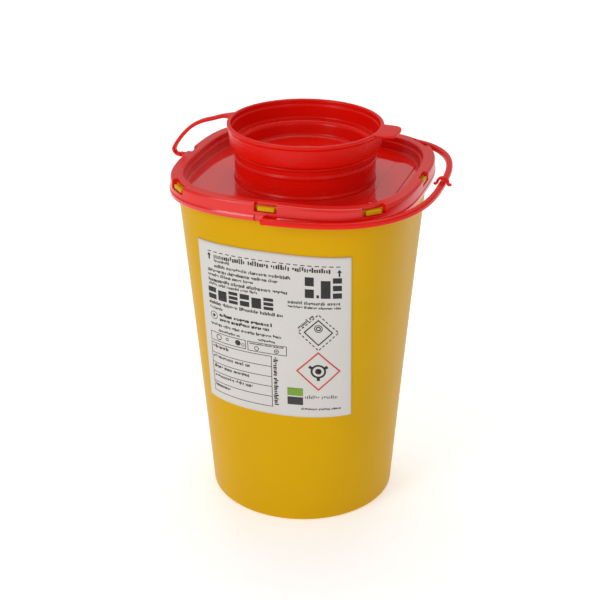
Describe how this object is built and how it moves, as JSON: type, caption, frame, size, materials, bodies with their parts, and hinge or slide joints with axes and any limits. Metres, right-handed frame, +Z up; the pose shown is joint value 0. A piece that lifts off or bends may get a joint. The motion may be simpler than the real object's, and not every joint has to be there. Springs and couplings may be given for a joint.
{
  "type": "sharps container",
  "caption": "Tapered sharps bin, round at the bottom and square at the top, with a snapped-on lid, round neck, tethered closure cap and stowed carry handle.",
  "frame": {"origin": "middle of the flat base that the container stands on", "axes": "+Z up; -Y is the side with the label; -X is the side with the cap's strap; +X is the side where the stowed handle's loop ends"},
  "size_m": [0.1162, 0.1056, 0.1613],
  "materials": {
    "yellow_plastic": "satin injection-moulded polypropylene, warm yellow",
    "red_plastic": "glossy injection-moulded polypropylene, signal red",
    "label_paper": null
  },
  "bodies": {
    "root": {"container_body": "yellow_plastic", "lock_lug_right": "yellow_plastic", "lock_lug_rear_right": "yellow_plastic", "lock_lug_rear": "yellow_plastic", "lock_lug_rear_left": "yellow_plastic", "lock_lug_left": "yellow_plastic", "lock_lug_front_left": "yellow_plastic", "lock_lug_front": "yellow_plastic", "lock_lug_front_right": "yellow_plastic", "lid_shell": "red_plastic", "deck_panel": "red_plastic", "neck_collar": "red_plastic", "strap_anchor": "red_plastic", "handle_root_front": "red_plastic", "handle_root_rear": "red_plastic", "label": "label_paper"},
    "cap": {"closure_cap": "red_plastic", "cap_tab": "red_plastic", "cap_strap": "red_plastic"},
    "handle": {"carry_handle": "red_plastic", "handle_catch": "red_plastic"}
  },
  "joints": [
    {"name": "cap_swing", "type": "hinge", "parent": "root", "child": "cap", "pos_m": [-0.0535, 0, 0.1413], "axis": [0, -1, 0], "range_deg": [0, 165], "deforming": ["cap_strap"]},
    {"name": "handle_swing", "type": "hinge", "parent": "root", "child": "handle", "pos_m": [0, 0, 0.1381], "axis": [0, -1, 0], "range_deg": [0, 90]}
  ]
}
